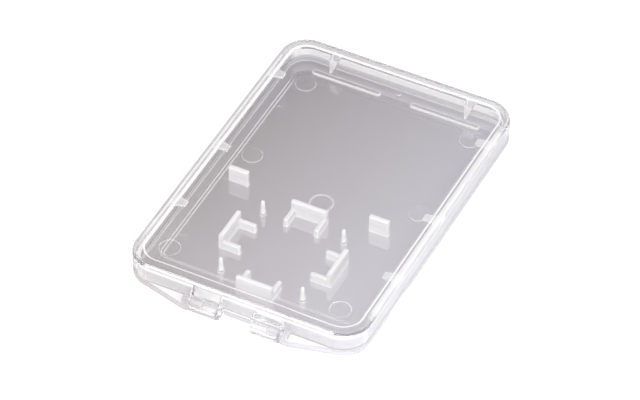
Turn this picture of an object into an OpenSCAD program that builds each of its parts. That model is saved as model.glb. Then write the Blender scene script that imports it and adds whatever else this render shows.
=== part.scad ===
// Clear case for one small memory card: a shallow tray, and a lid that turns on two moulded hinges.
// X runs across the short side, Y from the hinges to the closing edge, and Z up.
// The closed case lies on Z = 0, and its outline with the hinges is centred on X = 0, Y = 0.

/* [Case] */
// Width across the short side
case_w = 73.9; // [70:0.1:110]
// Length of the box itself, without the hinges
case_l = 106.7; // [96:0.1:160]
// Height of the closed case
case_h = 8.7; // [8.4:0.1:14]
// Radius of the box corners seen from above
corner_r = 8.5; // [6:0.1:12]
// Radius along the bottom edge of the tray
bottom_edge_r = 0.5; // [0.2:0.1:0.8]

/* [Tray] */
// Thickness of the floor under its sunken field
floor_t = 1.1; // [0.8:0.1:1.6]
// Height of the outer strip, up to the parting line
strip_h = 2.4; // [2:0.1:2.8]
// Thickness of the inner wall that the skirt goes over
tray_wall = 1.05; // [0.8:0.05:1.4]
// Height of that inner wall above the table
tray_wall_h = 5.8; // [5.2:0.1:6.1]

/* [Lid] */
// Thickness of the skirt
skirt_t = 1.15; // [0.9:0.05:1.5]
// Thickness of the top plate at its rim
top_t = 1.0; // [0.8:0.1:1.4]
// Radius along the top edge, which the front edge lacks
top_edge_r = 1.2; // [0.4:0.1:1.5]
// Length of the square front edge between the rounded corners
front_edge_l = 59.2; // [50:0.1:62]
// Depth of the sunken field on top
field_depth = 0.35; // [0.1:0.05:0.5]
// Distance of the sunken field from each long side
field_side = 2.9; // [2.2:0.1:5]
// Distance of the sunken field from the front and the back
field_end = 3.15; // [2.2:0.05:6]
// Corner radius of the sunken field
field_r = 6; // [3:0.1:7]

/* [Fit of lid and tray] */
// Side clearance between the skirt and the inner wall
wall_gap = 0.15; // [0.1:0.05:0.25]
// Height of the parting gap
parting_gap = 0.12; // [0.08:0.02:0.3]
// Radius of the snap bead on the back wall
bead_r = 0.3; // [0.2:0.05:0.35]
// Length of the snap bead
bead_l = 52; // [20:1:54]
// Height of the snap bead above the table
bead_z = 4.5; // [4:0.1:4.7]

/* [Floor] */
// Depth of the sunken field in the floor
panel_depth = 0.4; // [0.2:0.05:0.5]
// Width of the slope around it
panel_slope = 0.8; // [0.4:0.1:1.2]
// Distance of the field from each long side
panel_side = 5.3; // [4:0.1:7]
// Distance of the field from the front
panel_front = 11; // [8.5:0.1:13]
// Distance of the field from the back
panel_back = 7.95; // [7.9:0.05:11]
// Corner radius of the field
panel_r = 3; // [1.5:0.1:6]
// Length of each low rib at the back
rib_l = 22.4; // [10:0.1:24]
// Width of each low rib
rib_w = 1.8; // [1:0.1:2]
// Height of each low rib over the floor's margin
rib_h = 0.5; // [0.2:0.1:1]
// Space between the two ribs
rib_space = 9.8; // [4:0.1:16]
// Distance of the ribs' middle from the back
rib_back = 6.7; // [6.6:0.1:6.8]
// Radius of the small button behind the ribs
button_r = 0.8; // [0.5:0.1:1.2]
// Distance of the button from the back
button_back = 4.35; // [4:0.05:4.6]
// Radius of the round ejector marks
ejector_r = 3.1; // [2:0.1:4]
// Distance of the ejector marks from each long side
ejector_side = 10.1; // [9.5:0.1:12]
// Distance of the first two ejector marks from the back
ejector_back = 12.15; // [11.9:0.05:14]
// Distance from there to the next two
ejector_step = 34.4; // [20:0.1:36]
// Distance of the two marks under the lid from the front
ceiling_mark_front = 9.9; // [6:0.1:14]
// Height of the round marks
mark_h = 0.15; // [0.05:0.05:0.2]
// Outer radius of the plain ring mark in the middle of the floor
ring_r = 3.7; // [2:0.1:5]
// Width of the plain ring mark
ring_w = 0.6; // [0.3:0.1:1]
// Distance of the ring mark behind the posts
ring_back = 3.2; // [-1:0.1:6]

/* [Card nest] */
// Width of the card
card_w = 24; // [20:0.1:26]
// Length of the card
card_l = 32; // [30:0.1:36]
// Clearance at each end of the card
card_end_gap = 0.4; // [0.2:0.05:0.8]
// Clearance at each side of the card, at the cones
card_side_gap = 0.1; // [0.05:0.05:0.4]
// Distance from the front to the middle of the nest
nest_front = 27; // [25:0.1:30]
// Height at which the card lies over the floor
card_z = 2.6; // [1.5:0.1:3]
// Height of the bracket walls over the floor
bracket_h = 5.2; // [3.6:0.1:5.5]
// Length of a bracket wall
bracket_l = 11.2; // [8:0.1:14]
// Thickness of the bracket walls and their legs
bracket_t = 1.4; // [1:0.1:1.8]
// Reach of a leg inwards from its wall
leg_l = 5.2; // [4.8:0.1:6]
// Radius along the top edges of walls, legs and posts
top_r = 0.35; // [0.1:0.05:0.45]
// Shift of the two side brackets towards the back
side_shift = 0.6; // [0:0.1:1.5]
// Radius of a cone at the floor
cone_r = 1; // [0.7:0.1:1.2]
// Radius of a cone at its top
cone_tip_r = 0.6; // [0.4:0.1:0.7]
// Height of the cones over the floor
cone_h = 5.2; // [4:0.1:5.5]

/* [Stop posts] */
// Width of a post
post_w = 6.2; // [4:0.1:8]
// Thickness of a post
post_t = 1.6; // [1:0.1:2.4]
// Height of a post over the floor
post_h = 5.4; // [3:0.1:5.5]
// Distance of the left post's middle from the left side
post_left = 11.95; // [10:0.05:14]
// Distance of the right post's middle from the right side
post_right = 16.85; // [10:0.05:18]
// Distance of the posts behind the middle of the nest
post_back = 21.3; // [20:0.1:24]

/* [Finger scoops] */
// Length of the scoop in each long side
scoop_l = 17; // [10:0.1:24]
// Depth of the scoop
scoop_depth = 0.6; // [0.2:0.1:0.9]

/* [Insert holders] */
// Length of a little shelf along the skirt
shelf_l = 4; // [3:0.1:8]
// Length of its inner end, to which it tapers
shelf_tip = 2.4; // [1:0.1:3]
// Reach of a shelf inwards from the outside of the case
shelf_reach = 5.75; // [4:0.05:7]
// Thickness of a shelf
shelf_t = 0.8; // [0.5:0.1:1]
// Free height over a shelf, for the paper
shelf_gap = 0.5; // [0.3:0.05:0.6]
// Width of the two insert stops at the top plate
stop_w = 2.9; // [1.5:0.1:3.5]
// Width of a stop at its lower end
stop_tip_w = 0.9; // [0.6:0.1:1.4]
// Distance of each stop from the middle
stop_x = 22; // [14:0.1:25]
// Distance of the stops' front edge from the back
stop_back = 5.45; // [5.2:0.05:5.5]
// Depth of a stop at its lower end
stop_tip = 1.4; // [0.8:0.1:1.6]

/* [Hinges] */
// Reach of the knuckles in front of the wall
hinge_reach = 4; // [3.6:0.1:4.3]
// Distance of the hinge axis in front of the wall
axis_out = 1.6; // [1.6:0.05:1.8]
// Height of the hinge axis above the table
axis_z = 2.8; // [2.75:0.05:3]
// Radius of a knuckle about the axis
knuckle_r = 2.7; // [2.2:0.05:2.7]
// Width of a knuckle
knuckle_w = 9.2; // [6:0.1:12]
// Radius of a knuckle's two front corners
knuckle_corner_r = 1.2; // [0.4:0.1:1.3]
// Distance of each knuckle from the middle
knuckle_x = 5; // [3:0.1:8]
// Radius of a stub pin
stub_r = 1; // [0.8:0.05:1]
// Length of a stub pin in its knuckle
stub_l = 4; // [2:0.1:5]
// Running clearance around a stub pin
bore_gap = 0.1; // [0.05:0.01:0.1]
// Clearance between knuckle and lug, and between knuckle and wall
knuckle_gap = 0.3; // [0.2:0.05:0.4]
// Radius of the eye that carries a stub pin
eye_r = 1.4; // [1.2:0.05:1.4]
// Thickness of that eye along the pin
eye_t = 2; // [1.2:0.1:3]
// Length of a lug along the wall, with its taper
lug_l = 13.9; // [6:0.1:13.9]
// Step from each end of a knuckle to the side of its arm
arm_inset = 0.2; // [0.1:0.1:2]
// Height of the left arm's root below the top of the case
arm_drop_left = 0.2; // [0.1:0.1:2]
// Height of the right arm's root below the top of the case
arm_drop_right = 2; // [0.1:0.1:2.5]
// Radius of the groove between an arm and its knuckle
groove_r = 0.35; // [0.2:0.05:0.4]

/* [Hidden] */
$fn = 64;

// Overlap that makes two solids of one piece a single solid
bite = 0.4;
// Overshoot of a cut past the face it opens
past = 1;

// Faces of the box, seen from its own middle
front_y = -case_l / 2;
back_y = case_l / 2;
side_x = case_w / 2;
// The hinges stand out in front, so the box lies half that far back
box_shift = hinge_reach / 2;

// Lid and tray inside each other
skirt_in = skirt_t;
wall_out = skirt_t + wall_gap;
wall_in = wall_out + tray_wall;
skirt_z = strip_h + parting_gap;
ceiling_z = case_h - top_t;

// Floor levels and its sunken field
margin_z = floor_t + panel_depth;
panel_w = case_w - 2 * panel_side;
panel_l = case_l - panel_front - panel_back;
panel_y = front_y + panel_front + panel_l / 2;

// Card nest
nest_y = front_y + nest_front;
wall_face = card_l / 2 + card_end_gap;
cone_at_card = cone_r - (cone_r - cone_tip_r) * card_z / cone_h;
cone_x = card_w / 2 + card_side_gap + cone_at_card;

// Finger scoops, as arcs of a large circle
scoop_r = (pow(scoop_l / 2, 2) + pow(scoop_depth, 2)) / (2 * scoop_depth);

// Little shelves: places along the skirt as shares of the length between the corners
shelf_run = case_l - 2 * corner_r;
shelf_places = [-0.28, 0.01, 0.4];
shelf_z = ceiling_z - shelf_gap - shelf_t;

// Hinges
axis_y = front_y - axis_out;
knuckle_end = knuckle_x + knuckle_w;
bore_r = stub_r + bore_gap;
knuckle_round = min(knuckle_corner_r, hinge_reach - axis_out - bore_r);
arm_w = knuckle_w - 2 * arm_inset;
lug_x = knuckle_end + knuckle_gap;
arm_x = knuckle_x + knuckle_w / 2;
arm_foot_y = axis_y - knuckle_r / 3;
arm_foot_z = axis_z + sqrt(pow(knuckle_r, 2) - pow(knuckle_r / 3, 2));

// Rectangle with round corners
module round_rect(w, l, r) {
    square([w - 2 * r, l], center = true);
    square([w, l - 2 * r], center = true);
    for (x = [-1, 1], y = [-1, 1])
        translate([x * (w / 2 - r), y * (l / 2 - r)])
            circle(r);
}

// Closed band between two insets of the box outline
module wall_band(inset_out, inset_in, z, h) {
    translate([0, 0, z])
        linear_extrude(h)
            difference() {
                inset_outline(inset_out);
                inset_outline(inset_in);
            }
}

// Outline of the box, drawn in by a distance
module inset_outline(inset) {
    round_rect(case_w - 2 * inset, case_l - 2 * inset, corner_r - inset);
}

// Slab of the box outline whose edge follows a half profile
// The profile runs from 0 at a corner's centre to the corner radius at the outer face
module edged_slab(w, l, r, z, h) {
    translate([0, 0, z])
        linear_extrude(h)
            square([w - 2 * r, l - 2 * r], center = true);
    for (x = [-1, 1], y = [-1, 1])
        translate([x * (w / 2 - r), y * (l / 2 - r), 0])
            rotate_extrude()
                children();
    for (a = [0, 180]) {
        rotate(a)
            translate([w / 2 - r, l / 2 - r, 0])
                rotate([90, 0, 0])
                    linear_extrude(l - 2 * r)
                        children();
        rotate(a + 90)
            translate([l / 2 - r, w / 2 - r, 0])
                rotate([90, 0, 0])
                    linear_extrude(w - 2 * r)
                        children();
    }
}

// Half profile with a round lower edge
module low_round_profile(r, z, h, edge) {
    translate([0, z + edge])
        square([r, h - edge]);
    translate([0, z])
        square([r - edge, h]);
    translate([r - edge, z + edge])
        circle(edge);
}

// Half profile with a round upper edge
module high_round_profile(r, z, h, edge) {
    translate([0, z])
        square([r, h - edge]);
    translate([0, z])
        square([r - edge, h]);
    translate([r - edge, z + h - edge])
        circle(edge);
}

// Half profile of a cut whose side slopes out towards the top
module slope_profile(r, z, h, slope) {
    polygon([
        [0, z],
        [r - slope, z],
        [r, z + h],
        [r, z + h + past],
        [0, z + h + past]
    ]);
}

// Round bar along X
module bar(x0, x1, y, z, r) {
    translate([x0, y, z])
        rotate([0, 90, 0])
            cylinder(r = r, h = x1 - x0);
}

// Floor, outer strip and inner wall
module tray_shell() {
    edged_slab(case_w, case_l, corner_r, 0, margin_z)
        low_round_profile(corner_r, 0, margin_z, bottom_edge_r);
    wall_band(0, wall_in, margin_z - bite, strip_h - margin_z + bite);
    wall_band(wall_out, wall_in, margin_z, tray_wall_h - margin_z);
    // Snap bead on the back wall
    bar(-bead_l / 2, bead_l / 2, back_y - wall_out, bead_z, bead_r);
}

// Sunken field of the floor with its sloped edge
module panel_cut() {
    translate([0, panel_y, 0])
        edged_slab(panel_w, panel_l, panel_r, floor_t, panel_depth + past)
            slope_profile(panel_r, floor_t, panel_depth, panel_slope);
}

// Wall along X that stands on the floor, centred, with two round top edges
module floor_wall(l, t, h) {
    translate([-l / 2, -t / 2, floor_t - bite])
        rotate([90, 0, 90])
            linear_extrude(l) {
                square([t, h + bite - top_r]);
                translate([top_r, 0])
                    square([t - 2 * top_r, h + bite]);
                for (y = [top_r, t - top_r])
                    translate([y, h + bite - top_r])
                        circle(top_r);
            }
}

// One C-shaped bracket: a wall with two lower legs that reach under the card
module bracket() {
    translate([0, wall_face + bracket_t / 2, 0])
        floor_wall(bracket_l, bracket_t, bracket_h);
    for (s = [-1, 1])
        translate([s * (bracket_l - bracket_t) / 2, wall_face - leg_l / 2 + bite / 2, 0])
            rotate(90)
                floor_wall(leg_l + bite, bracket_t, card_z);
}

// Cone that guides the side of the card, with a round top
module guide_cone() {
    translate([0, 0, floor_t])
        cylinder(r1 = cone_r, r2 = cone_tip_r, h = cone_h - cone_tip_r);
    translate([0, 0, floor_t - bite])
        cylinder(r = cone_r, h = bite);
    translate([0, 0, floor_t + cone_h - cone_tip_r])
        sphere(cone_tip_r);
}

// Four brackets and four cones about the middle of the nest
module card_nest() {
    for (a = [0:90:270])
        translate([0, nest_y + (a == 90 || a == 270 ? side_shift : 0), 0])
            rotate(a)
                bracket();
    for (x = [-1, 1], y = [-1, 1])
        translate([x * cone_x, nest_y + y * cone_x, 0])
            guide_cone();
}

// Post that stops a folded leaflet from sliding over the nest
module post(x) {
    translate([x, nest_y + post_back, 0])
        floor_wall(post_w, post_t, post_h);
}

// Long low rib with round ends
module back_rib(side) {
    translate([side * (rib_space + rib_l) / 2, back_y - rib_back, margin_z - bite])
        linear_extrude(rib_h + bite) {
            square([rib_l - rib_w, rib_w], center = true);
            for (s = [-1, 1])
                translate([s * (rib_l - rib_w) / 2, 0])
                    circle(rib_w / 2);
        }
}

// Low round marks that the mould leaves on the floor
module floor_marks() {
    for (x = [-1, 1], y = [0, ejector_step])
        translate([x * (side_x - ejector_side), back_y - ejector_back - y, floor_t - bite])
            cylinder(r = ejector_r, h = bite + mark_h);
    translate([0, nest_y + post_back + ring_back, floor_t - bite])
        linear_extrude(bite + mark_h)
            difference() {
                circle(ring_r);
                circle(ring_r - ring_w);
            }
}

// Lug at the outer end of a knuckle: a tapered foot, an eye and the stub pin
module lug() {
    linear_extrude(strip_h)
        polygon([
            [lug_x, front_y + bite],
            [lug_x, axis_y - eye_r],
            [lug_x + eye_t, axis_y - eye_r],
            [lug_x + lug_l, front_y],
            [lug_x + lug_l, front_y + bite]
        ]);
    bar(lug_x, lug_x + eye_t, axis_y, axis_z, eye_r);
    bar(lug_x - stub_l - knuckle_gap, lug_x + bite, axis_y, axis_z, stub_r);
}

// Room in the tray's front edge for a turning knuckle
module knuckle_room() {
    translate([knuckle_x - knuckle_gap, front_y - past, -past])
        cube([knuckle_w + 2 * knuckle_gap, wall_out - knuckle_gap / 3 + past, strip_h + 2 * past]);
}

module base_tray() {
    color([0.86, 0.86, 0.88, 0.5])
        translate([0, box_shift, 0]) {
            difference() {
                tray_shell();
                panel_cut();
                for (s = [0, 1])
                    mirror([s, 0, 0]) {
                        knuckle_room();
                        translate([side_x - scoop_depth + scoop_r, nest_y, -past])
                            cylinder(r = scoop_r, h = strip_h + 2 * past, $fn = 360);
                    }
            }
            card_nest();
            post(post_left - side_x);
            post(side_x - post_right);
            back_rib(-1);
            back_rib(1);
            translate([0, back_y - button_back, margin_z - bite])
                cylinder(r = button_r, h = bite + rib_h);
            floor_marks();
            for (s = [0, 1])
                mirror([s, 0, 0])
                    lug();
        }
}

// Top plate and skirt, with the sunken field and the groove for the snap bead
module lid_shell() {
    plate_h = case_h - skirt_z;
    difference() {
        union() {
            edged_slab(case_w, case_l, corner_r, skirt_z, plate_h)
                high_round_profile(corner_r, skirt_z, plate_h, top_edge_r);
            // Square front edge between the rounded corners
            translate([-front_edge_l / 2, front_y, skirt_z])
                cube([front_edge_l, corner_r, plate_h]);
        }
        translate([0, 0, skirt_z - past])
            linear_extrude(ceiling_z - skirt_z + past)
                inset_outline(skirt_in);
        translate([0, 0, case_h - field_depth])
            linear_extrude(field_depth + past)
                round_rect(case_w - 2 * field_side, case_l - 2 * field_end, field_r);
        bar(-bead_l / 2 - wall_gap, bead_l / 2 + wall_gap, back_y - wall_out, bead_z, bead_r + wall_gap);
    }
}

// Little tapered shelf under the top plate that holds the edge of a paper insert
module insert_shelf(y) {
    translate([0, y, shelf_z])
        linear_extrude(shelf_t)
            polygon([
                [side_x - skirt_in + bite, -shelf_l / 2],
                [side_x - skirt_in + bite, shelf_l / 2],
                [side_x - shelf_reach, shelf_tip / 2],
                [side_x - shelf_reach, -shelf_tip / 2]
            ]);
}

// Stop that hangs from the top plate behind a low rib, drawn in towards its foot on two sides
module insert_stop(side) {
    front = back_y - stop_back;
    foot_z = margin_z + panel_depth;
    left = side * stop_x - stop_tip_w / 2;
    intersection() {
        translate([left, 0, 0])
            rotate([90, 0, 90])
                linear_extrude(stop_w)
                    polygon([
                        [front, foot_z],
                        [front + stop_tip, foot_z],
                        [back_y - wall_in - wall_gap, ceiling_z],
                        [back_y - wall_in - wall_gap, ceiling_z + bite],
                        [front, ceiling_z + bite]
                    ]);
        translate([0, back_y, 0])
            rotate([90, 0, 0])
                linear_extrude(stop_back + past)
                    polygon([
                        [left, foot_z],
                        [left + stop_tip_w, foot_z],
                        [left + stop_w, ceiling_z],
                        [left + stop_w, ceiling_z + bite],
                        [left, ceiling_z + bite]
                    ]);
    }
}

// Round ejector marks under the top plate, near the hinges
module ceiling_marks() {
    for (x = [-1, 1])
        translate([x * (side_x - ejector_side), front_y + ceiling_mark_front, ceiling_z - mark_h])
            cylinder(r = ejector_r, h = mark_h + bite);
}

// Outline of a knuckle seen from above, with round front corners
module knuckle_plan() {
    front = front_y - hinge_reach;
    translate([-knuckle_w / 2, front + knuckle_round])
        square([knuckle_w, hinge_reach + skirt_t + past - knuckle_round]);
    translate([-knuckle_w / 2 + knuckle_round, front])
        square([knuckle_w - 2 * knuckle_round, hinge_reach]);
    for (s = [-1, 1])
        translate([s * (knuckle_w / 2 - knuckle_round), front + knuckle_round])
            circle(knuckle_round);
}

// Knuckle with a flat front, and the arm that carries it from the lid's front wall
module hinge_arm(x_mid, drop) {
    root_z = case_h - drop;
    translate([x_mid, 0, 0])
        difference() {
            union() {
                intersection() {
                    bar(-knuckle_w / 2, knuckle_w / 2, axis_y, axis_z, knuckle_r);
                    linear_extrude(case_h)
                        knuckle_plan();
                }
                // Web between the knuckle and the wall
                translate([-knuckle_w / 2, axis_y, skirt_z])
                    cube([knuckle_w, axis_out + bite, arm_foot_z - skirt_z]);
                // Sloping arm
                translate([-arm_w / 2, 0, 0])
                    rotate([90, 0, 90])
                        linear_extrude(arm_w)
                            polygon([
                                [front_y + bite, axis_z],
                                [front_y + bite, root_z],
                                [front_y, root_z],
                                [arm_foot_y, arm_foot_z],
                                [arm_foot_y, axis_z]
                            ]);
            }
            bar(-knuckle_w / 2 - past, knuckle_w / 2 + past, axis_y, axis_z, bore_r);
            bar(-arm_w / 2, arm_w / 2, arm_foot_y, arm_foot_z, groove_r);
        }
}

module lid() {
    color([0.9, 0.9, 0.93, 0.4])
        translate([0, box_shift, 0]) {
            lid_shell();
            for (s = [0, 1])
                mirror([s, 0, 0])
                    for (share = shelf_places)
                        insert_shelf(share * shelf_run);
            insert_stop(-1);
            insert_stop(1);
            ceiling_marks();
            hinge_arm(-arm_x, arm_drop_left);
            hinge_arm(arm_x, arm_drop_right);
        }
}

base_tray();
lid();
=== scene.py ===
"""A clear moulded case for one small memory card: a shallow tray and its hinged lid."""

import math

import bmesh
import bpy
from mathutils import Matrix, Vector
from mathutils.bvhtree import BVHTree
from mathutils.geometry import intersect_point_line


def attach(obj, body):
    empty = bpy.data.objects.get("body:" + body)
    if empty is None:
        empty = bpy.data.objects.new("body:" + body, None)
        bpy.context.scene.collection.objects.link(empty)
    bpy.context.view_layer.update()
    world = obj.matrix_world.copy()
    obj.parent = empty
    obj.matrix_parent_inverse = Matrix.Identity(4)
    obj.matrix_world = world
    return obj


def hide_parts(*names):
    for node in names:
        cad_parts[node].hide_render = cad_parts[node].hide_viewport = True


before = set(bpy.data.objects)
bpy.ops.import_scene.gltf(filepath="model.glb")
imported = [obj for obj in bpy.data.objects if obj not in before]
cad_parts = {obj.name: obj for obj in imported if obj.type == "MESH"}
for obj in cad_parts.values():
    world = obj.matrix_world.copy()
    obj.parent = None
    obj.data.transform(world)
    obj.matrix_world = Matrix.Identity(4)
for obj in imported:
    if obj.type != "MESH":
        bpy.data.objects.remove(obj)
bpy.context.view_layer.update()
MM = 0.001
scene = bpy.context.scene


class Maths:
    """A shader socket that takes part in Python expressions."""

    def __init__(self, tree, socket):
        self.tree, self.socket = tree, socket

    def run(self, operation, other=None, flip=False):
        node = self.tree.nodes.new("ShaderNodeMath")
        node.operation = operation
        pair = [self, other][::-1] if flip else [self, other]
        for slot, value in zip(node.inputs, pair):
            if isinstance(value, Maths):
                self.tree.links.new(value.socket, slot)
            elif value is not None:
                slot.default_value = value
        return Maths(self.tree, node.outputs[0])

    def __add__(self, other):
        return self.run("ADD", other)

    def __sub__(self, other):
        return self.run("SUBTRACT", other)

    def __rsub__(self, other):
        return self.run("SUBTRACT", other, flip=True)

    def __mul__(self, other):
        return self.run("MULTIPLY", other)

    def __truediv__(self, other):
        return self.run("DIVIDE", other)

    def maximum(self, *others):
        highest = self
        for other in others:
            highest = highest.run("MAXIMUM", other)
        return highest

    def minimum(self, other):
        return self.run("MINIMUM", other)

    def absolute(self):
        return self.run("ABSOLUTE")

    def root(self):
        return self.run("SQRT")

    def clamped(self):
        return self.maximum(0.0).minimum(1.0)

    def within(self, low, high, soft):
        """1 between two limits in millimetres and 0 outside, with a soft step of that width at both."""
        low, high, soft = low * MM, high * MM, soft * MM
        return ((self - (low - soft)) / soft).clamped() * ((self - (high + soft)) / -soft).clamped()


class Recipe:
    """The node tree of a material or a world, with a single way to add any node."""

    def __init__(self, owner):
        self.owner = owner
        owner.use_nodes = True
        self.tree = owner.node_tree
        self.tree.nodes.clear()

    def node(self, kind, out=0, settings=None, **sockets):
        made = self.tree.nodes.new(kind)
        for key, value in (settings or {}).items():
            setattr(made, key, value)
        for key, value in sockets.items():
            number = key[1:]
            slot = made.inputs[int(number) if number.isdigit() else key.replace("_", " ")]
            if isinstance(value, Maths):
                self.tree.links.new(value.socket, slot)
            else:
                slot.default_value = value
        return Maths(self.tree, made.outputs[out])

    def ray(self, kind):
        return self.node("ShaderNodeLightPath", out=kind)

    def split(self, vector):
        return [self.node("ShaderNodeSeparateXYZ", out=axis, Vector=vector) for axis in range(3)]

    def joined(self, first, second, third):
        """A colour from three values."""
        return self.node("ShaderNodeCombineXYZ", _0=first, _1=second, _2=third)

    def place(self):
        """The x, y and z of the shaded point in the object's own metres."""
        return self.split(self.node("ShaderNodeTexCoord", out="Object"))

    def surface(self, shader, output="ShaderNodeOutputMaterial"):
        self.tree.links.new(shader.socket, self.tree.nodes.new(output).inputs["Surface"])
        return self.owner


# Camera
AIM = Vector((4.365, -9.514, 12.818)) * MM
AZIMUTH = 26.51
ELEVATION = 44.03
ROLL = math.radians(-0.34)
DISTANCE = 1146.36 * MM
LENS = 227.6
SENSOR = 36.0
CLIP = (0.01, 10.0)


def towards(azimuth, elevation):
    """The direction from the case to an azimuth, with 0 in front and 90 to the right, and an elevation."""
    turn, rise = math.radians(azimuth), math.radians(elevation)
    return Vector((math.sin(turn) * math.cos(rise), -math.cos(turn) * math.cos(rise), math.sin(rise)))


def add_camera():
    back = towards(AZIMUTH, ELEVATION)
    data = bpy.data.cameras.new("camera")
    data.lens = LENS
    data.sensor_width = SENSOR
    data.clip_start, data.clip_end = CLIP
    camera = bpy.data.objects.new("camera", data)
    scene.collection.objects.link(camera)
    turn = (-back).to_track_quat("-Z", "Y").to_matrix() @ Matrix.Rotation(-ROLL, 3, "Z")
    camera.matrix_world = Matrix.Translation(AIM + back * DISTANCE) @ turn.to_4x4()
    scene.camera = camera


# Plastic, as colours and as the share of lamp light that each surface lets through
CLEAR = (0.96, 0.957, 0.963)
# The white of the painted highlight in the plastic, and the colour of the floor plate's gloss
PAINTED_HIGHLIGHT_AND_GLOSS_WHITE = (0.99, 0.985, 0.98, 1.0)
LID_PASSES = (0.98, 0.98, 0.98, 1.0)
TRAY_PASSES = (0.722, 0.702, 0.73, 1.0)
REFRACTION = 1.58

# Painted shade: clear plastic is darkened where it is seen at a flat angle, which draws dark outlines
# along its silhouettes
FLAT_FROM = 0.65
FLAT_PAINTED_SHADE = (-0.55, -0.56, -0.55)

# Fine wear changes the gloss, and slow waves in the surface bend what is seen through it; the white of the
# painted highlight has a roughness of its own
WEAR_SCALE, WEAR_DETAIL = 900.0, 4.0
WAVE_SCALE, WAVE_DETAIL = 70.0, 1.0
WAVE_STRENGTH, WAVE_DEPTH = 0.1, 0.1 * MM
CLEAR_WEAR, MIRROR_WEAR, PAINTED_HIGHLIGHT_WEAR, PAINTED_HIGHLIGHT_ROUGH = 0.05, 0.1, 0.3, 0.2
FLOOR_POLISH = 0.12

# The case seen from above: half its width and length, the shift of its middle and its corner radius
HALF_W = 36.95 * MM
HALF_L = 53.35 * MM
SHIFT = 2 * MM
CORNER = 8.5 * MM

# Outlines drawn in from the case: from the sides, the front and the back, and the corner radius
WHOLE = (0.0, 0.0, 0.0, CORNER)
TOP_FIELD = (2.9 * MM, 3.15 * MM, 3.15 * MM, 6 * MM)
FLOOR_STEP = (5.3 * MM, 11 * MM, 7.95 * MM, 3 * MM)
INNER_WALL = (2.35 * MM, 2.35 * MM, 2.35 * MM, CORNER - 2.35 * MM)

# Round marks: their middle at the right, their lines, and the plain ring in the middle
MARK_X = 26.85 * MM
CEILING_MARK_Y = -41.45 * MM
FLOOR_MARKS_Y = (43.2 * MM, 8.8 * MM)
MARK_LINE = (2.95, 3.2, 0.1)
RING_Y = 0.15 * MM
RING_LINE = (3.1, 3.7, 0.1)

# The low ribs at the back: the middle of the right one and the half length of its straight part
RIB_X, RIB_Y, RIB_STRAIGHT = 16.1 * MM, 48.65 * MM, 10.3 * MM
RIB_LINE = (0.55, 1.0, 0.1)

# Bands across the plastic, in millimetres: lower limit, upper limit and the width of the soft steps
RIGHT_SIDE = (20, 36.95, 1)
LEFT_SIDE = (-36.95, -20, 1)
FAR_RIGHT = (20, 36.95, 8)
ALONG_SIDES = (-38, 42, 5)
AHEAD_OF_BACK = (-60, 41, 4)
AT_BACK = (50, 60, 2)
IN_HINGES = (-10, -0.1, 0.05)
FRONT_FACE = (-0.2, 0.2, 0.1)
FIELD_LINE = (-0.35, 0.15, 0.12)
STEP_TOP_LINE = (-0.1, 0.1, 0.15)
STEP_FOOT_LINE = (-0.95, -0.75, 0.15)
WALL_FOOT_LINE = (-0.2, 0.3, 0.15)
WALL_BACK_LINE = (-0.15, 0.3, 0.05)
LEFT_RIM = (-1.75, -1.25, 0.15)
RIGHT_RIM = (-1.8, 0.1, 0.15)
SKIRT = (-1.2, 0.1, 0.05)
INSIDE_SKIRT = (-1000, -1.35, 0.1)

# Heights in the same form
TOP_HEIGHTS = (8.2, 9, 0.05)
RIM_HEIGHTS = (7.5, 9, 0.3)
FRONT_EDGE_HEIGHTS = (8.15, 8.8, 0.1)
SKIRT_HEIGHTS = (2, 7.4, 0.3)
HANGING_HEIGHTS = (1, 7.5, 0.05)
CEILING_HEIGHTS = (7.3, 7.9, 0.05)
FLOOR_HEIGHTS = (0.9, 1.65, 0.05)
RIB_HEIGHTS = (1.7, 2.6, 0.05)
WALL_FADE_FROM, WALL_FADE_OVER = 2.6 * MM, 1.6 * MM
NEST_MIDDLE, NEST_REACH = 4 * MM, 2.4 * MM

# Share of painted white highlight, which stands for the light that gathers in edges and steps
PAINTED_HIGHLIGHT_PLAIN = 0.02
PAINTED_HIGHLIGHT_FIELD = 0.95
PAINTED_HIGHLIGHT_LEFT_RIM = 0.5
PAINTED_HIGHLIGHT_RIGHT_RIM = 0.45
PAINTED_HIGHLIGHT_FRONT_EDGE = 0.8
PAINTED_HIGHLIGHT_SKIRT = 0.14
PAINTED_HIGHLIGHT_HANGING = 0.4
PAINTED_HIGHLIGHT_ARMS = 0.04
PAINTED_HIGHLIGHT_MARKS = 0.35
PAINTED_HIGHLIGHT_RING = 0.42
PAINTED_HIGHLIGHT_STEP = 0.75
PAINTED_HIGHLIGHT_WALL_FOOT = 0.6
PAINTED_HIGHLIGHT_RIBS = 0.85
PAINTED_HIGHLIGHT_NEST, PAINTED_HIGHLIGHT_NEST_ENDS = 0.75, 0.25
PAINTED_HIGHLIGHT_LID_EDGES = 0.8
PAINTED_HIGHLIGHT_TRAY_EDGES = 0.9
PAINTED_HIGHLIGHT_NEST_EDGES = 1.0
# Less painted highlight along the hinges
HINGES_LESS_PAINTED_HIGHLIGHT = -0.55
FIELD_WIDER = 0.25 * MM


def outline(x, y, side, front, back, corner):
    """How far a point lies outside the case's outline drawn in by three distances."""
    middle = SHIFT + (front - back) / 2
    over_x = x.absolute() - (HALF_W - side - corner)
    over_y = (y - middle).absolute() - (HALF_L - (front + back) / 2 - corner)
    out_x, out_y = over_x.maximum(0.0), over_y.maximum(0.0)
    return (out_x * out_x + out_y * out_y).root() + over_x.maximum(over_y).minimum(0.0) - corner


def circle(x, y, middle_x, middle_y):
    """How far a point lies from the middles of two marks on both sides of the case."""
    away_x, away_y = x.absolute() - middle_x, y - middle_y
    return (away_x * away_x + away_y * away_y).root()


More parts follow.
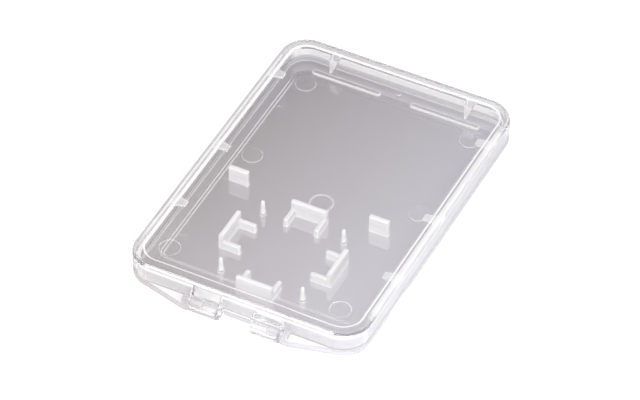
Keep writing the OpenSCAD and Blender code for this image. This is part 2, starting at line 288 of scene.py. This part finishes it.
def rib_distance(x, y):
    """How far a point lies from the straight middle line of either rib."""
    beyond = ((x.absolute() - RIB_X).absolute() - RIB_STRAIGHT).maximum(0.0)
    return (beyond * beyond + (y - RIB_Y) * (y - RIB_Y)).root()


def past_front(y):
    """How far a point lies behind the front wall's outer face, so less than 0 in the hinges."""
    return y - SHIFT + HALF_L


def lid_painted_highlight(recipe):
    """Painted highlight: white along the sunken field, in the rim, the front edge and what hangs under the
    top.
    """
    x, y, z = recipe.place()
    case = outline(x, y, *WHOLE)
    field = outline(x, y, *TOP_FIELD) - x.within(*FAR_RIGHT) * FIELD_WIDER
    left = case.within(*LEFT_RIM) * x.within(*LEFT_SIDE) * PAINTED_HIGHLIGHT_LEFT_RIM
    right = case.within(*RIGHT_RIM) * x.within(*RIGHT_SIDE) * PAINTED_HIGHLIGHT_RIGHT_RIM
    marks = circle(x, y, MARK_X, CEILING_MARK_Y).within(*MARK_LINE)
    return (field.within(*FIELD_LINE) * z.within(*TOP_HEIGHTS) * PAINTED_HIGHLIGHT_FIELD).maximum(
        left.maximum(right) * y.within(*ALONG_SIDES) * z.within(*RIM_HEIGHTS),
        past_front(y).within(*FRONT_FACE) * z.within(*FRONT_EDGE_HEIGHTS) * PAINTED_HIGHLIGHT_FRONT_EDGE,
        case.within(*SKIRT) * z.within(*SKIRT_HEIGHTS) * PAINTED_HIGHLIGHT_SKIRT,
        case.within(*INSIDE_SKIRT) * z.within(*HANGING_HEIGHTS) * PAINTED_HIGHLIGHT_HANGING,
        past_front(y).within(*IN_HINGES) * PAINTED_HIGHLIGHT_ARMS,
        marks * z.within(*CEILING_HEIGHTS) * PAINTED_HIGHLIGHT_MARKS,
        PAINTED_HIGHLIGHT_PLAIN,
    )


def tray_painted_highlight(recipe):
    """Painted highlight: white along both edges of the floor's step, in the inner wall, on the ribs and
    the marks.
    """
    x, y, z = recipe.place()
    step, wall = outline(x, y, *FLOOR_STEP), outline(x, y, *INNER_WALL)
    ahead = y.within(*AHEAD_OF_BACK) * PAINTED_HIGHLIGHT_STEP
    marks = [circle(x, y, MARK_X, middle) for middle in FLOOR_MARKS_Y]
    on_floor = (step.within(*STEP_TOP_LINE) * ahead).maximum(
        step.within(*STEP_FOOT_LINE) * ahead,
        wall.within(*WALL_FOOT_LINE) * PAINTED_HIGHLIGHT_WALL_FOOT,
        marks[0].minimum(marks[1]).within(*MARK_LINE) * PAINTED_HIGHLIGHT_MARKS,
        circle(x, y, 0.0, RING_Y).within(*RING_LINE) * PAINTED_HIGHLIGHT_RING,
    )
    back = wall.within(*WALL_BACK_LINE) * ((z - WALL_FADE_FROM) / WALL_FADE_OVER).clamped()
    return (z.within(*FLOOR_HEIGHTS) * on_floor).maximum(
        back * y.within(*AT_BACK),
        rib_distance(x, y).within(*RIB_LINE) * z.within(*RIB_HEIGHTS) * PAINTED_HIGHLIGHT_RIBS,
        PAINTED_HIGHLIGHT_PLAIN,
    )


def nest_painted_highlight(recipe):
    """Painted highlight, whiter towards the top and the foot of what stands in the tray."""
    z = recipe.place()[2]
    return ((z - NEST_MIDDLE).absolute() / NEST_REACH).clamped() * PAINTED_HIGHLIGHT_NEST_ENDS + PAINTED_HIGHLIGHT_NEST


def edge_painted_highlight(share):
    """Painted highlight along the rounded edges, but less of it along those of the hinges."""
    return lambda recipe: past_front(recipe.place()[1]).within(*IN_HINGES) * HINGES_LESS_PAINTED_HIGHLIGHT + share


# The same share of painted highlight all over
def even_painted_highlight(share):
    return lambda recipe: share


def plastic(name, passes, painted_highlight, polish=0.0):
    """Clear plastic that lets part of the lamps' light through, mixed by a share with painted white
    highlight.
    """
    recipe = Recipe(bpy.data.materials.new(name))
    share = painted_highlight(recipe)
    place = recipe.node("ShaderNodeTexCoord", out="Object")
    wear = recipe.node("ShaderNodeTexNoise", Vector=place, Scale=WEAR_SCALE, Detail=WEAR_DETAIL)
    waves = recipe.node("ShaderNodeTexNoise", Vector=place, Scale=WAVE_SCALE, Detail=WAVE_DETAIL)
    relief = recipe.node(
        "ShaderNodeBump",
        out="Normal",
        Height=waves,
        Strength=WAVE_STRENGTH,
        Distance=WAVE_DEPTH,
    )
    # Painted shade: the clear plastic's colour darkens towards flat angles of view
    facing = recipe.node("ShaderNodeLayerWeight", out="Facing", Blend=0.5)
    grazing = ((facing - FLAT_FROM) / (1.0 - FLAT_FROM)).clamped()
    tint = recipe.joined(*(grazing * darker + value for value, darker in zip(CLEAR, FLAT_PAINTED_SHADE)))
    clear = recipe.node(
        "ShaderNodeBsdfPrincipled",
        Base_Color=tint,
        Roughness=wear * CLEAR_WEAR,
        IOR=REFRACTION,
        Transmission_Weight=1.0,
        Normal=relief,
    )
    # The white shader of the painted highlight
    painted_white = recipe.node(
        "ShaderNodeBsdfPrincipled",
        Base_Color=PAINTED_HIGHLIGHT_AND_GLOSS_WHITE,
        Roughness=wear * PAINTED_HIGHLIGHT_WEAR + PAINTED_HIGHLIGHT_ROUGH,
    )
    body = recipe.node("ShaderNodeMixShader", _0=share, _1=clear, _2=painted_white)
    if polish:
        mirror = recipe.node("ShaderNodeBsdfGlossy", Color=PAINTED_HIGHLIGHT_AND_GLOSS_WHITE, Roughness=wear * MIRROR_WEAR)
        floor = recipe.place()[2].within(*FLOOR_HEIGHTS)
        body = recipe.node("ShaderNodeMixShader", _0=floor * polish, _1=body, _2=mirror)
    passing = recipe.node("ShaderNodeBsdfTransparent", Color=passes)
    lamp_ray = recipe.ray("Is Shadow Ray").maximum(recipe.ray("Is Diffuse Ray"))
    return recipe.surface(recipe.node("ShaderNodeMixShader", _0=lamp_ray, _1=body, _2=passing))


# Facets that are merged, angles of the edges that are rounded, and the roundings
MERGED = 0.002 * MM
FLAT = math.radians(0.5)
SHARP = math.radians(24)
KNIFE = math.radians(115)
UNROUNDED = math.radians(50)
EDGE_ROUND = 0.22 * MM
NEST_ROUND = 0.5 * MM
ROUND_SEGMENTS = 3

# A rounding takes this share of the room beside an edge, and is left out where it would be too thin
ROOM_SHARE = 0.45
THINNEST = 0.2 * EDGE_ROUND
WIDEST_ROOM = 4 * EDGE_ROUND
THROWN_OFF = 0.6 * EDGE_ROUND

# Cosines between edges: one that folds back, one that runs straight on, and a gap that isn't across
FOLDS_BACK = 0.8
RUNS_STRAIGHT = -0.9
RUNS_ON = -0.8
GAP_LEAN = 0.7

# The space inside the tray in which the nest and the posts stand
INNER_X = 33 * MM
NEST_Y = -22 * MM
NEST_L = 46 * MM
PANEL_TOP = 1.75 * MM


def in_nest(place):
    """Whether a place of the tray belongs to what stands inside it."""
    return abs(place.x) < INNER_X and abs(place.y - NEST_Y) < NEST_L / 2 and place.z > PANEL_TOP


def way(edge, vert):
    """The way along an edge from one of its ends."""
    return (edge.other_vert(vert).co - vert.co).normalized()


def segment_gap(edge, other):
    """The shortest vector from one straight edge to another, tested at their ends."""
    best = None
    for first, second, sign in ((edge, other, 1.0), (other, edge, -1.0)):
        start, stop = (v.co for v in second.verts)
        for vert in first.verts:
            spot, share = intersect_point_line(vert.co, start, stop)
            spot = start if share < 0.0 else stop if share > 1.0 else spot
            gap = (spot - vert.co) * sign
            if best is None or gap.length < best.length:
                best = gap
    return best


def edge_room(edge):
    """How far a sharp edge can be rounded before it meets another edge of either face."""
    room = WIDEST_ROOM
    for vert in edge.verts:
        along = way(edge, vert)
        for other in vert.link_edges:
            if other is edge:
                continue
            lean = way(other, vert).dot(along)
            if lean > FOLDS_BACK:
                return 0.0
            if lean > RUNS_STRAIGHT:
                room = min(room, other.calc_length())
    along = way(edge, edge.verts[0])
    for face in edge.link_faces:
        for other in face.edges:
            if other is edge or set(other.verts) & set(edge.verts):
                continue
            gap = segment_gap(edge, other)
            if gap.length < room and abs(gap.dot(along)) < GAP_LEAN * gap.length:
                room = gap.length
    return room


def edge_chains(edges):
    """Sets of sharp edges that run on into each other without a corner."""
    left = set(edges)
    while left:
        chain, border = set(), {left.pop()}
        while border:
            edge = border.pop()
            chain.add(edge)
            for vert in edge.verts:
                for other in left & set(vert.link_edges):
                    if way(other, vert).dot(way(edge, vert)) < RUNS_ON:
                        border.add(other)
                        left.discard(other)
        yield chain


def weigh_edges(mesh):
    """Give each run of sharp edges the share of the full rounding that fits all along it."""
    bm = bmesh.new()
    bm.from_mesh(mesh)
    weight = bm.edges.layers.float.new("bevel_weight_edge")
    sharp = [edge for edge in bm.edges if SHARP < edge.calc_face_angle(0.0) < KNIFE]
    for chain in edge_chains(sharp):
        standing = all(in_nest((edge.verts[0].co + edge.verts[1].co) / 2) for edge in chain)
        wanted = NEST_ROUND if standing else EDGE_ROUND
        room = min(ROOM_SHARE * edge_room(edge) for edge in chain)
        for edge in chain:
            edge[weight] = min(wanted, room) / NEST_ROUND if room > THINNEST else 0.0
    bm.to_mesh(mesh)
    bm.free()


def keep_on(mesh, surface):
    """Pull back the points that the rounding threw off the moulding's surface."""
    for vert in mesh.vertices:
        spot, _, _, distance = surface.find_nearest(vert.co)
        if distance > THROWN_OFF:
            vert.co = spot


def mark_sharp(mesh):
    """Keep the edges crisp that weren't rounded, and shade softly across the rounded ones."""
    bm = bmesh.new()
    bm.from_mesh(mesh)
    for face in bm.faces:
        face.smooth = True
    for edge in bm.edges:
        rounded = any(face.material_index for face in edge.link_faces)
        edge.smooth = edge.calc_face_angle(0.0) < (UNROUNDED if rounded else SHARP)
    bm.to_mesh(mesh)
    bm.free()


def apply(piece, kind, **settings):
    made = piece.modifiers.new(kind.lower(), kind)
    for key, value in settings.items():
        setattr(made, key, value)
    bpy.ops.object.modifier_apply(modifier=made.name)


def moulding(node_name, body, plastics):
    """A copy of a CAD node with merged facets and its sharp edges rounded in the second material, which
    carries the edges' painted highlight.
    """
    bpy.ops.object.select_all(action="DESELECT")
    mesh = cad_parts[node_name].data.copy()
    surface = BVHTree.FromPolygons([v.co for v in mesh.vertices], [p.vertices for p in mesh.polygons])
    piece = bpy.data.objects.new(node_name + "_moulding", mesh)
    scene.collection.objects.link(piece)
    piece.select_set(True)
    bpy.context.view_layer.objects.active = piece
    bpy.ops.object.mode_set(mode="EDIT")
    bpy.ops.mesh.select_all(action="SELECT")
    bpy.ops.mesh.remove_doubles(threshold=MERGED)
    bpy.ops.mesh.dissolve_limited(angle_limit=FLAT)
    bpy.ops.object.mode_set(mode="OBJECT")
    weigh_edges(mesh)
    mesh.materials.clear()
    for plastic_kind in plastics:
        mesh.materials.append(plastic_kind)
    apply(
        piece,
        "BEVEL",
        limit_method="WEIGHT",
        offset_type="WIDTH",
        width=NEST_ROUND,
        segments=ROUND_SEGMENTS,
        use_clamp_overlap=False,
        material=1,
    )
    keep_on(piece.data, surface)
    mark_sharp(piece.data)
    apply(piece, "WEIGHTED_NORMAL", keep_sharp=True)
    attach(piece, body)
    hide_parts(node_name)
    return piece


def paint_nest(tray):
    """Give what stands inside the tray its own materials with more painted white highlight, for faces and
    for edges.
    """
    for face in tray.data.polygons:
        if in_nest(face.center):
            face.material_index += 2


def add_case():
    # Plastics with painted white highlight, more of it on the rounded edges and on what stands in the tray
    moulding("lid", "lid", (
        plastic("lid_plastic", LID_PASSES, lid_painted_highlight),
        plastic("lid_edges_painted_highlight", LID_PASSES, edge_painted_highlight(PAINTED_HIGHLIGHT_LID_EDGES)),
    ))
    tray = moulding("base_tray", "tray", (
        plastic("tray_plastic", TRAY_PASSES, tray_painted_highlight, polish=FLOOR_POLISH),
        plastic("tray_edges_painted_highlight", TRAY_PASSES, edge_painted_highlight(PAINTED_HIGHLIGHT_TRAY_EDGES)),
        plastic("nest_plastic_painted_highlight", LID_PASSES, nest_painted_highlight),
        plastic("nest_edges_painted_highlight", LID_PASSES, even_painted_highlight(PAINTED_HIGHLIGHT_NEST_EDGES)),
    ))
    paint_nest(tray)


# Floor: its own colour, what it adds for the camera, and painted light that shows only through the plastic
# and in its reflections, a gradient from darker at the back left to lighter at the front right
FLOOR_SIZE = 6.0
FLOOR_COLOUR = (0.9, 0.9, 0.91, 1.0)
FLOOR_ROUGHNESS, FLOOR_REFRACTION = 0.03, 1.8
FLOOR_SEEN = 0.4
PAINTED_LIGHT_FALL = 1.4
PAINTED_LIGHT_RISE = (3.3, 3.6, 4.5)
PAINTED_LIGHT_START = (0.165, 0.16, 0.16)


def add_floor():
    bpy.ops.object.select_all(action="DESELECT")
    bpy.ops.mesh.primitive_plane_add(size=FLOOR_SIZE, location=(0, 0, 0))
    floor = bpy.context.object
    floor.name = "floor"
    recipe = Recipe(bpy.data.materials.new("white_floor"))
    x, y, _ = recipe.place()
    paint = recipe.node(
        "ShaderNodeBsdfPrincipled",
        Base_Color=FLOOR_COLOUR,
        Roughness=FLOOR_ROUGHNESS,
        IOR=FLOOR_REFRACTION,
    )
    # Painted light: rays through the plastic and in its reflections see the floor glow more to the right
    # and to the front
    through = recipe.ray("Is Glossy Ray").maximum(recipe.ray("Is Transmission Ray"))
    seen = recipe.ray("Is Camera Ray") * FLOOR_SEEN
    tint = recipe.joined(*(
        seen + through * (x * rise - y * PAINTED_LIGHT_FALL + start).clamped()
        for rise, start in zip(PAINTED_LIGHT_RISE, PAINTED_LIGHT_START)
    ))
    glow = recipe.node("ShaderNodeEmission", Color=tint, Strength=1.0)
    floor.data.materials.append(recipe.surface(recipe.node("ShaderNodeAddShader", _0=paint, _1=glow)))


# World: white to the camera, and for light and reflections dimmer near the horizon and in two directions
SKY, HORIZON, DUSK = 0.85, 0.5, 0.15
HORIZON_TO, SKY_FROM = 0.15, 0.6
DUSK_FROM, DUSK_TO = 0.55, 0.85
DUSKS = ((206.5, 44, 1.0), (45, 20, 0.3))
SEEN_THROUGH, SEEN_BELOW = 0.8, 0.25

# Lamps: azimuth, elevation, distance, width, height, strength, and whether the case mirrors them
SOFTBOXES = {
    "softbox_back_right": (150, 22, 0.9, 0.6, 0.2, 3.0, True),
    "softbox_front": (35, 35, 0.9, 1.0, 0.6, 4.6, False),
    "softbox_back_left": (235, 35, 0.9, 0.6, 0.6, 0.8, False),
}


def add_world():
    recipe = Recipe(bpy.data.worlds.new("studio"))
    scene.world = recipe.owner
    direction = recipe.node("ShaderNodeTexCoord", out="Generated")
    height = recipe.split(direction)[2]
    shares = []
    for azimuth, elevation, depth in DUSKS:
        near = recipe.node(
            "ShaderNodeVectorMath",
            out="Value",
            settings={"operation": "DOT_PRODUCT"},
            _0=direction,
            _1=towards(azimuth, elevation),
        )
        shares.append(((near - DUSK_FROM) / (DUSK_TO - DUSK_FROM)).clamped() * depth)
    sky = ((height - HORIZON_TO) / (SKY_FROM - HORIZON_TO)).clamped() * (SKY - HORIZON) + HORIZON
    level = shares[0].maximum(*shares[1:]) * (sky * -1.0 + DUSK) + sky
    flat = 1.0 - (height / SEEN_BELOW).clamped()
    level = level.maximum(
        recipe.ray("Is Camera Ray"),
        recipe.ray("Is Transmission Ray") * flat * SEEN_THROUGH,
    )
    shader = recipe.node("ShaderNodeBackground", Color=(1.0, 1.0, 1.0, 1.0), Strength=level)
    recipe.surface(shader, "ShaderNodeOutputWorld")


def add_softbox(name, azimuth, elevation, distance, width, height, strength, mirrored):
    """A square lamp that looks at the case, and may be kept out of what it mirrors and lets through."""
    away = towards(azimuth, elevation)
    data = bpy.data.lights.new(name, "AREA")
    data.shape = "RECTANGLE"
    data.size, data.size_y = width, height
    data.energy = strength * math.pi * width * height
    lamp = bpy.data.objects.new(name, data)
    turn = away.to_track_quat("Z", "Y").to_matrix().to_4x4()
    lamp.matrix_world = Matrix.Translation(away * distance) @ turn
    lamp.visible_glossy = lamp.visible_transmission = mirrored
    scene.collection.objects.link(lamp)


# Light bounces, which clear plastic needs many of
GLOSSY_BOUNCES = 16
OTHER_BOUNCES = 32

add_camera()
add_case()
add_floor()
add_world()
for lamp_name, place_and_light in SOFTBOXES.items():
    add_softbox(lamp_name, *place_and_light)

scene.view_settings.view_transform = "Standard"
scene.cycles.max_bounces = OTHER_BOUNCES
scene.cycles.transmission_bounces = OTHER_BOUNCES
scene.cycles.glossy_bounces = GLOSSY_BOUNCES
scene.cycles.transparent_max_bounces = OTHER_BOUNCES
